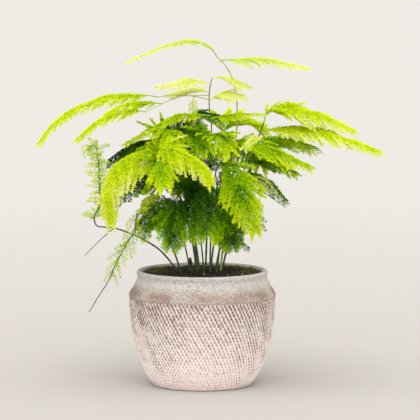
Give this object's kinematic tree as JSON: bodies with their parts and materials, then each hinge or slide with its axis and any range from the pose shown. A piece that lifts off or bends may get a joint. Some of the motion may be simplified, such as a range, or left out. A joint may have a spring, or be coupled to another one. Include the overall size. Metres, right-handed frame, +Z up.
{
  "type": "potted asparagus fern",
  "caption": "Potted fern with tall wiry canes that arch into flat tiers of feathery fronds, in a round-bellied knurled pot with a smooth collar.",
  "frame": {"origin": "centre of the pot's flat underside", "axes": "+Z up through the pot's axis, -Y towards the viewer, +X to the viewer's right"},
  "size_m": [0.3495, 0.2147, 0.3536],
  "materials": {
    "pot_stone": "matte",
    "soil_dark": "matte",
    "dead_wood": "matte",
    "cane_green": "satin",
    "leaf_lime": "matte",
    "leaf_mid": "matte",
    "leaf_dark": "matte",
    "leaf_pale": "matte"
  },
  "bodies": {
    "root": {"pot": "pot_stone", "soil": "soil_dark", "old_stub": "dead_wood", "cane_tall_right": "cane_green", "cane_tall_middle": "cane_green", "cane_long_left": "cane_green", "cane_arching": "cane_green", "cane_right": "cane_green", "cane_right_front": "cane_green", "cane_right_low": "cane_green", "cane_left": "cane_green", "cane_left_front": "cane_green", "cane_front": "cane_green", "cane_front_low": "cane_green", "cane_left_low": "cane_green", "cane_back_left": "cane_green", "cane_back_right": "cane_green", "frond_top_left": "leaf_pale", "frond_top_right": "leaf_pale", "frond_crown_left": "leaf_pale", "frond_crown_right": "leaf_pale", "frond_second_left": "leaf_pale", "frond_second_right": "leaf_pale", "frond_far_left": "leaf_lime", "frond_upper_left_fan": "leaf_lime", "frond_left_lower": "leaf_lime", "frond_pale_hanging": "leaf_pale", "frond_middle_left": "leaf_lime", "frond_middle_strip": "leaf_lime", "frond_far_right_upper": "leaf_lime", "frond_far_right": "leaf_lime", "frond_right_front_tip": "leaf_pale", "frond_right_dark": "leaf_dark", "frond_right_mid": "leaf_lime", "frond_right_under": "leaf_mid", "frond_right_sparse": "leaf_pale", "frond_front_right": "leaf_mid", "frond_bluish_right": "leaf_dark", "frond_low_right": "leaf_dark", "frond_front_left": "leaf_lime", "frond_front_middle": "leaf_lime", "frond_front_centre": "leaf_lime", "frond_left_dark": "leaf_dark", "frond_heart_left": "leaf_lime", "frond_heart_middle": "leaf_mid", "frond_heart_right": "leaf_lime", "frond_heart_dark": "leaf_dark", "frond_heart_low": "leaf_dark", "frond_small_left": "leaf_lime", "frond_tuft_left": "leaf_mid", "frond_low_front": "leaf_dark", "frond_low_front_left": "leaf_mid", "frond_low_front_right": "leaf_dark", "frond_low_left": "leaf_dark", "frond_back_left": "leaf_mid", "frond_back_left_low": "leaf_dark", "frond_back_top": "leaf_dark", "frond_back_right_top": "leaf_mid", "frond_back_right": "leaf_mid", "frond_back_right_low": "leaf_dark"}
  },
  "joints": []
}
